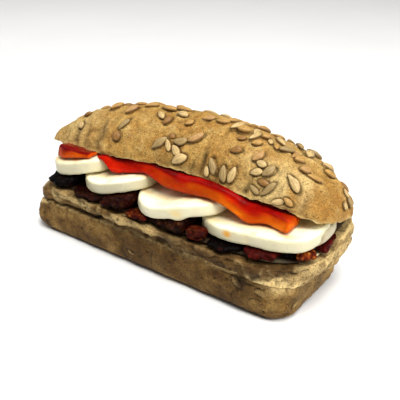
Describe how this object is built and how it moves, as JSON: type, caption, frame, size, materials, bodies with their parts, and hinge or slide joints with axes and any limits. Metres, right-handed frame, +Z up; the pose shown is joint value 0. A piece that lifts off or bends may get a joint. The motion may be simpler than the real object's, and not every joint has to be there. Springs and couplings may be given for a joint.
{
  "type": "panini sandwich",
  "caption": "Seeded wheat roll split lengthways and filled with mozzarella slices, roasted pepper strips and dried tomatoes on a thin cream spread.",
  "frame": {"origin": "centre of the footprint, on the flat underside of the roll", "axes": "+Z up, +X along the roll, the open filled side faces -Y"},
  "size_m": [0.1644, 0.0602, 0.0722],
  "materials": {
    "bottom_crust": null,
    "top_crust": null,
    "mozzarella": "moist white cheese",
    "pepper": "oily roasted red pepper",
    "dried_tomato": "wrinkled, dark and oily",
    "spread": "thin cream spread"
  },
  "bodies": {
    "root": {"bottom_bun": "bottom_crust", "spread": "spread", "tomato_1": "dried_tomato", "tomato_2": "dried_tomato", "tomato_3": "dried_tomato", "tomato_4": "dried_tomato", "tomato_5": "dried_tomato", "tomato_6": "dried_tomato", "tomato_7": "dried_tomato", "tomato_8": "dried_tomato", "tomato_9": "dried_tomato", "tomato_10": "dried_tomato", "tomato_11": "dried_tomato", "mozzarella_1": "mozzarella", "mozzarella_2": "mozzarella", "mozzarella_3": "mozzarella", "mozzarella_4": "mozzarella", "mozzarella_5": "mozzarella", "pepper_1": "pepper", "pepper_2": "pepper", "top_bun": "top_crust"}
  },
  "joints": []
}
